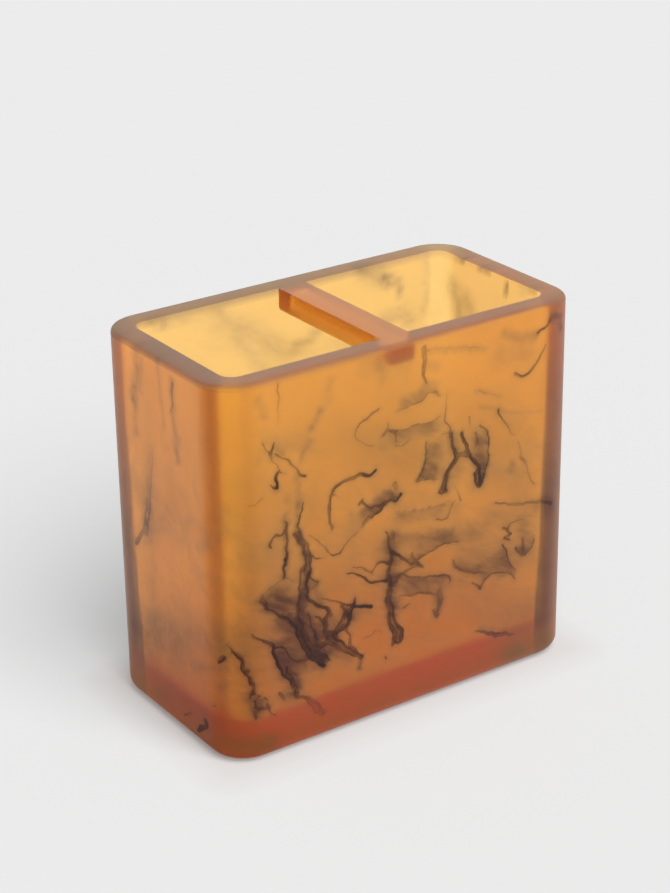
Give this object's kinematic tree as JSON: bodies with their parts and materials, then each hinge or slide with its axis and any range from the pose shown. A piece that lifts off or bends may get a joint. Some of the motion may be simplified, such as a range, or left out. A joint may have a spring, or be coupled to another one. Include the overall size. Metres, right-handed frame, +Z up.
{
  "type": "toothbrush cup",
  "caption": "Rectangular resin toothbrush cup with rounded corners, thick marbled amber walls and a bar across the mouth that parts it into two pockets.",
  "frame": {"origin": "on the worktop, under the middle of the cup", "axes": "+Z up out of the mouth, +X along the cup's length, +Y from its front face to its back face"},
  "size_m": [0.1084, 0.0576, 0.1015],
  "materials": {
    "amber_resin": "translucent amber cast resin with smoky black marbling, satin outside",
    "amber_resin_bar": "the same translucent amber cast resin, without marbling",
    "clear_pad": "clear soft rubber, smooth"
  },
  "bodies": {
    "root": {"cup_body": "amber_resin", "divider_bar": "amber_resin_bar", "base_pad_front_left": "clear_pad", "base_pad_front_right": "clear_pad", "base_pad_back_left": "clear_pad", "base_pad_back_right": "clear_pad"}
  },
  "joints": []
}
